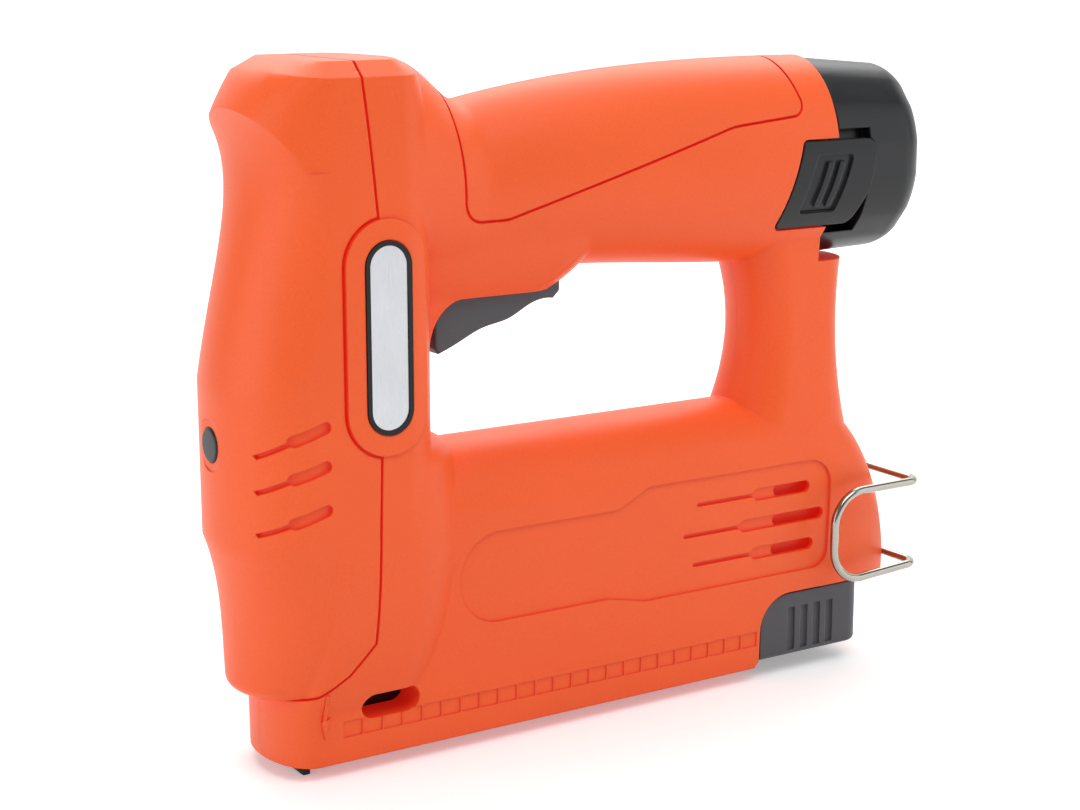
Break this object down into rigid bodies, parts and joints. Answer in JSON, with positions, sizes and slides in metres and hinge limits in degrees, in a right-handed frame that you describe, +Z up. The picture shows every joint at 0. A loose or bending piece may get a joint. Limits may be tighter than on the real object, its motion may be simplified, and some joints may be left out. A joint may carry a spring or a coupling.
{
  "type": "cordless stapler",
  "caption": "Hand-held cordless stapler with a clamshell housing, finger trigger, slide-in battery, rear-loading staple magazine and a geared spring-driven hammer.",
  "frame": {"origin": "where a staple leaves the nose, on the nose's contact plane", "axes": "+X to the rear, towards the battery; +Y to the operator's right; +Z up, along the hammer's path"},
  "size_m": [0.2439, 0.0566, 0.203],
  "materials": {
    "orange_abs": "satin moulded ABS",
    "badge_black": "gloss black",
    "badge_silver": "bright anodised",
    "charcoal_plastic": "matt charcoal",
    "black_plastic": "satin black",
    "red_plastic": "satin red",
    "zinc_steel": "zinc plated",
    "black_steel": "blackened steel",
    "bright_steel": "bright rolled steel",
    "nickel_wire": "nickel plated wire",
    "spring_steel": "oil tempered wire",
    "gear_steel": "ground steel",
    "bronze": "sintered bronze",
    "brass": "plain brass",
    "cell_wrap": "shrink sleeve",
    "green_board": "lacquered board",
    "bumper_rubber": "moulded rubber"
  },
  "bodies": {
    "housing": {"left_housing": "orange_abs", "right_housing": "orange_abs", "front_cover": "orange_abs", "grip_cover": "orange_abs", "badge_rim": "badge_black", "badge_plate": "badge_silver", "front_plug": "black_plastic", "front_cover_screw": "zinc_steel", "housing_screws": "zinc_steel", "belt_hook": "nickel_wire", "trigger_pin": "zinc_steel", "trigger_switch": "black_plastic", "trigger_spring": "spring_steel", "terminal_block": "black_plastic", "terminal_blades": "brass", "controller_board": "green_board", "motor_can": "zinc_steel", "motor_end_cap": "black_plastic", "ring_gear_case": "black_plastic", "drive_frame": "zinc_steel", "shaft_bushes": "bronze", "main_spring": "spring_steel", "bumper": "bumper_rubber", "nose_plate": "black_steel", "magazine_channel": "black_steel"},
    "rotor": {"motor_rotor": "gear_steel", "sun_pinion": "gear_steel"},
    "carrier": {"bevel_pinion": "gear_steel", "planet_carrier": "gear_steel", "planet_pins": "bright_steel"},
    "planet_1": {"planet_gear_1": "gear_steel"},
    "planet_2": {"planet_gear_2": "gear_steel"},
    "planet_3": {"planet_gear_3": "gear_steel"},
    "lifter": {"lifter_shaft": "bright_steel", "lifter_wheel": "gear_steel", "bevel_gear": "gear_steel"},
    "hammer": {"hammer": "gear_steel", "driver_blade": "bright_steel"},
    "trigger": {"trigger": "charcoal_plastic"},
    "plunger": {"switch_plunger": "red_plastic"},
    "battery": {"battery_case": "black_plastic", "battery_cells": "cell_wrap", "battery_terminals": "brass"},
    "left_latch": {"left_latch": "black_plastic"},
    "right_latch": {"right_latch": "black_plastic"},
    "magazine": {"magazine_tail": "charcoal_plastic", "magazine_rail": "bright_steel", "staple_strip": "bright_steel"},
    "pusher": {"pusher": "bright_steel", "pusher_spring": "bright_steel"}
  },
  "joints": [
    {"name": "motor_spin", "type": "hinge", "parent": "housing", "child": "rotor", "pos_m": [0.129, 0, 0.058], "axis": [-1, 0, 0], "range_deg": [0, 1552]},
    {"name": "carrier_spin", "type": "hinge", "parent": "housing", "child": "carrier", "pos_m": [0.07, 0, 0.058], "axis": [-1, 0, 0], "range_deg": [0, 345]},
    {"name": "planet_1_spin", "type": "hinge", "parent": "carrier", "child": "planet_1", "pos_m": [0.094, 0, 0.06745], "axis": [-1, 0, 0], "range_deg": [-966, 0]},
    {"name": "planet_2_spin", "type": "hinge", "parent": "carrier", "child": "planet_2", "pos_m": [0.094, -0.00818, 0.05328], "axis": [-1, 0, 0], "range_deg": [-966, 0]},
    {"name": "planet_3_spin", "type": "hinge", "parent": "carrier", "child": "planet_3", "pos_m": [0.094, 0.00818, 0.05328], "axis": [-1, 0, 0], "range_deg": [-966, 0]},
    {"name": "lifter_turn", "type": "hinge", "parent": "housing", "child": "lifter", "pos_m": [0.0235, 0, 0.058], "axis": [0, 1, 0], "range_deg": [0, 115]},
    {"name": "hammer_lift", "type": "slide", "parent": "housing", "child": "hammer", "axis": [0, 0, 1], "range_m": [0, 0.024], "deforming": ["main_spring"]},
    {"name": "trigger_pull", "type": "hinge", "parent": "housing", "child": "trigger", "pos_m": [0.08, 0, 0.1415], "axis": [0, 1, 0], "range_deg": [0, 8], "stiffness_Nm_per_rad": 0.4, "deforming": ["trigger_spring"]},
    {"name": "switch_press", "type": "slide", "parent": "housing", "child": "plunger", "axis": [0, 0, 1], "range_m": [0, 0.0031]},
    {"name": "battery_slide", "type": "slide", "parent": "housing", "child": "battery", "axis": [1, 0, 0], "range_m": [0, 0.06]},
    {"name": "left_latch_press", "type": "slide", "parent": "battery", "child": "left_latch", "axis": [0, 1, 0], "range_m": [0, 0.002], "stiffness_N_per_m": 300},
    {"name": "right_latch_press", "type": "slide", "parent": "battery", "child": "right_latch", "axis": [0, -1, 0], "range_m": [0, 0.002], "stiffness_N_per_m": 300},
    {"name": "magazine_slide", "type": "slide", "parent": "housing", "child": "magazine", "axis": [1, 0, 0], "range_m": [0, 0.13]},
    {"name": "pusher_slide", "type": "slide", "parent": "magazine", "child": "pusher", "axis": [1, 0, 0], "range_m": [0, 0.074]}
  ],
  "couplings": [
    {"joint": "carrier_spin", "follows": "hammer_lift", "rad_per_m": 250},
    {"joint": "planet_1_spin", "follows": "hammer_lift", "rad_per_m": -700},
    {"joint": "planet_2_spin", "follows": "hammer_lift", "rad_per_m": -700},
    {"joint": "planet_3_spin", "follows": "hammer_lift", "rad_per_m": -700},
    {"joint": "lifter_turn", "follows": "hammer_lift", "rad_per_m": 83.333},
    {"joint": "motor_spin", "follows": "hammer_lift", "rad_per_m": 1125},
    {"joint": "switch_press", "follows": "trigger_pull", "m_per_rad": 0.0215}
  ]
}
